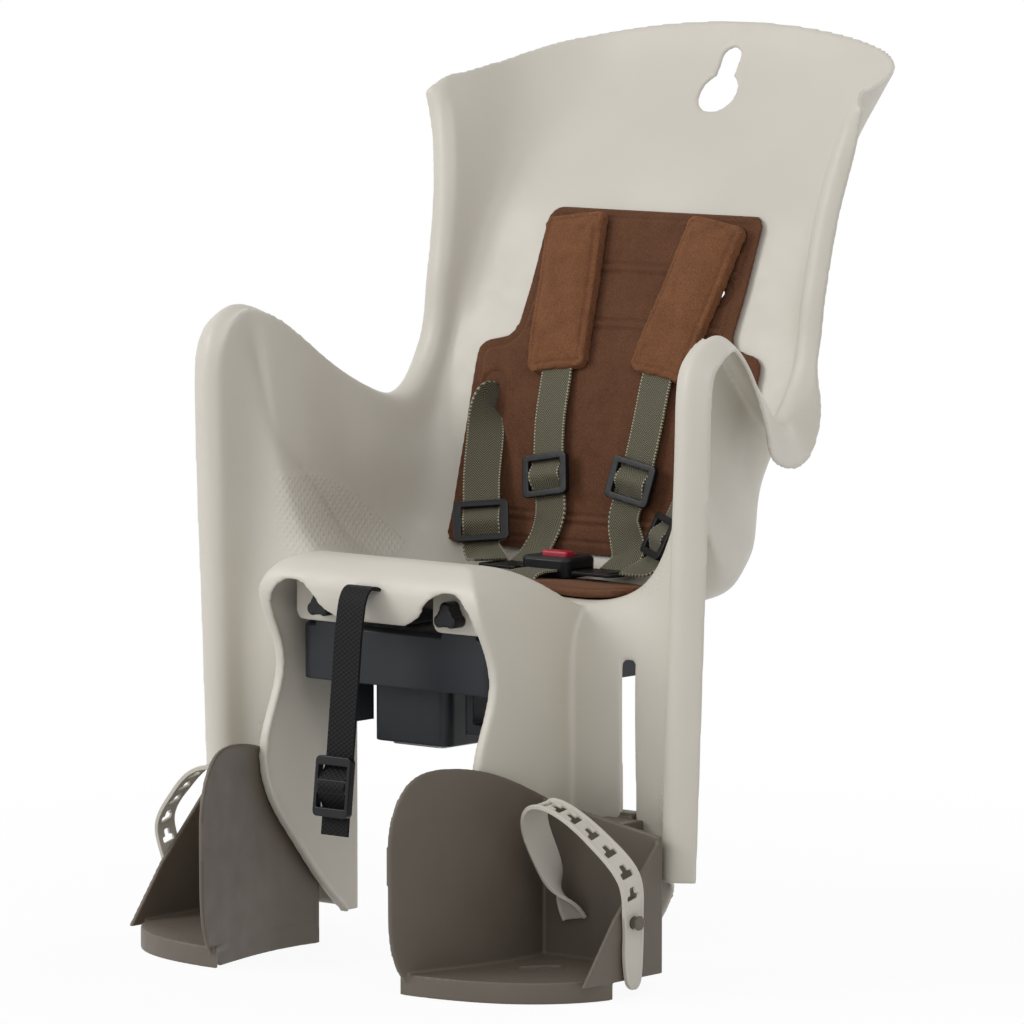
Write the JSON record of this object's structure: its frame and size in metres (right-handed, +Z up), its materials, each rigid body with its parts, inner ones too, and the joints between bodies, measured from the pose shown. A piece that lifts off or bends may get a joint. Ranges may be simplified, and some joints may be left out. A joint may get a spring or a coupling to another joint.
{
  "type": "child bike seat",
  "caption": "Moulded rear child seat for a bicycle carrier, with padded back and seat, shoulder and hip harness, carrier clamp, safety strap and height-adjustable footrests with foot straps.",
  "frame": {"origin": "middle of the mount block's flat underside, where the carrier rails bear", "axes": "+Z up, the child faces -Y, the child's left is +X"},
  "size_m": [0.4944, 0.5201, 0.6735],
  "materials": {
    "shell_plastic": "satin light warm grey",
    "pad_cloth": "brown suede-like cloth over foam",
    "webbing": "olive grey woven webbing",
    "black_webbing": "black woven webbing",
    "black_plastic": "satin black",
    "red_plastic": "red",
    "steel": "plain steel",
    "footrest_plastic": "dark taupe",
    "strap_rubber": "light beige soft rubber"
  },
  "bodies": {
    "seat": {"seat_shell": "shell_plastic", "back_pad": "pad_cloth", "seat_pad": "pad_cloth", "shoulder_pad_left": "pad_cloth", "shoulder_pad_right": "pad_cloth", "shoulder_strap_left": "webbing", "shoulder_strap_right": "webbing", "shoulder_slide_left": "black_plastic", "shoulder_slide_right": "black_plastic", "hip_strap_left": "webbing", "hip_strap_right": "webbing", "hip_slide_left": "black_plastic", "hip_slide_right": "black_plastic", "buckle_tongue_left": "black_plastic", "buckle_tongue_right": "black_plastic", "buckle_housing": "black_plastic", "buckle_spring": "steel", "crotch_strap": "webbing", "frame_strap": "black_webbing", "ladder_lock": "black_plastic", "mount_block": "black_plastic", "mount_plate": "steel"},
    "button": {"buckle_button": "red_plastic"},
    "jaw_left": {"jaw_left": "black_plastic"},
    "jaw_right": {"jaw_right": "black_plastic"},
    "jaw_screw_left": {"jaw_screw_left": "steel"},
    "jaw_screw_right": {"jaw_screw_right": "steel"},
    "knob_left": {"knob_left": "black_plastic"},
    "knob_right": {"knob_right": "black_plastic"},
    "footrest_left": {"footrest_left": "footrest_plastic", "foot_strap_left": "strap_rubber"},
    "footrest_right": {"footrest_right": "footrest_plastic", "foot_strap_right": "strap_rubber"}
  },
  "joints": [
    {"name": "footrest_left_slide", "type": "slide", "parent": "seat", "child": "footrest_left", "axis": [0, 0, 1], "range_m": [0, 0.06]},
    {"name": "footrest_right_slide", "type": "slide", "parent": "seat", "child": "footrest_right", "axis": [0, 0, 1], "range_m": [0, 0.06]},
    {"name": "knob_left_turn", "type": "hinge", "parent": "seat", "child": "knob_left", "pos_m": [0.0605, -0.11, 0.057], "axis": [0, 1, 0], "continuous": true},
    {"name": "knob_right_turn", "type": "hinge", "parent": "seat", "child": "knob_right", "pos_m": [-0.0605, -0.11, 0.057], "axis": [0, 1, 0], "continuous": true},
    {"name": "jaw_left_slide", "type": "slide", "parent": "seat", "child": "jaw_left", "axis": [1, 0, 0], "range_m": [-0.01, 0.01]},
    {"name": "jaw_right_slide", "type": "slide", "parent": "seat", "child": "jaw_right", "axis": [1, 0, 0], "range_m": [-0.01, 0.01]},
    {"name": "jaw_screw_left_turn", "type": "hinge", "parent": "seat", "child": "jaw_screw_left", "pos_m": [0.09, -0.012, 0.011], "axis": [1, 0, 0], "continuous": true},
    {"name": "jaw_screw_right_turn", "type": "hinge", "parent": "seat", "child": "jaw_screw_right", "pos_m": [-0.09, -0.012, 0.011], "axis": [1, 0, 0], "continuous": true},
    {"name": "button_press", "type": "slide", "parent": "seat", "child": "button", "axis": [0, 0, -1], "range_m": [0, 0.003], "stiffness_N_per_m": 800, "deforming": ["buckle_spring"]}
  ]
}
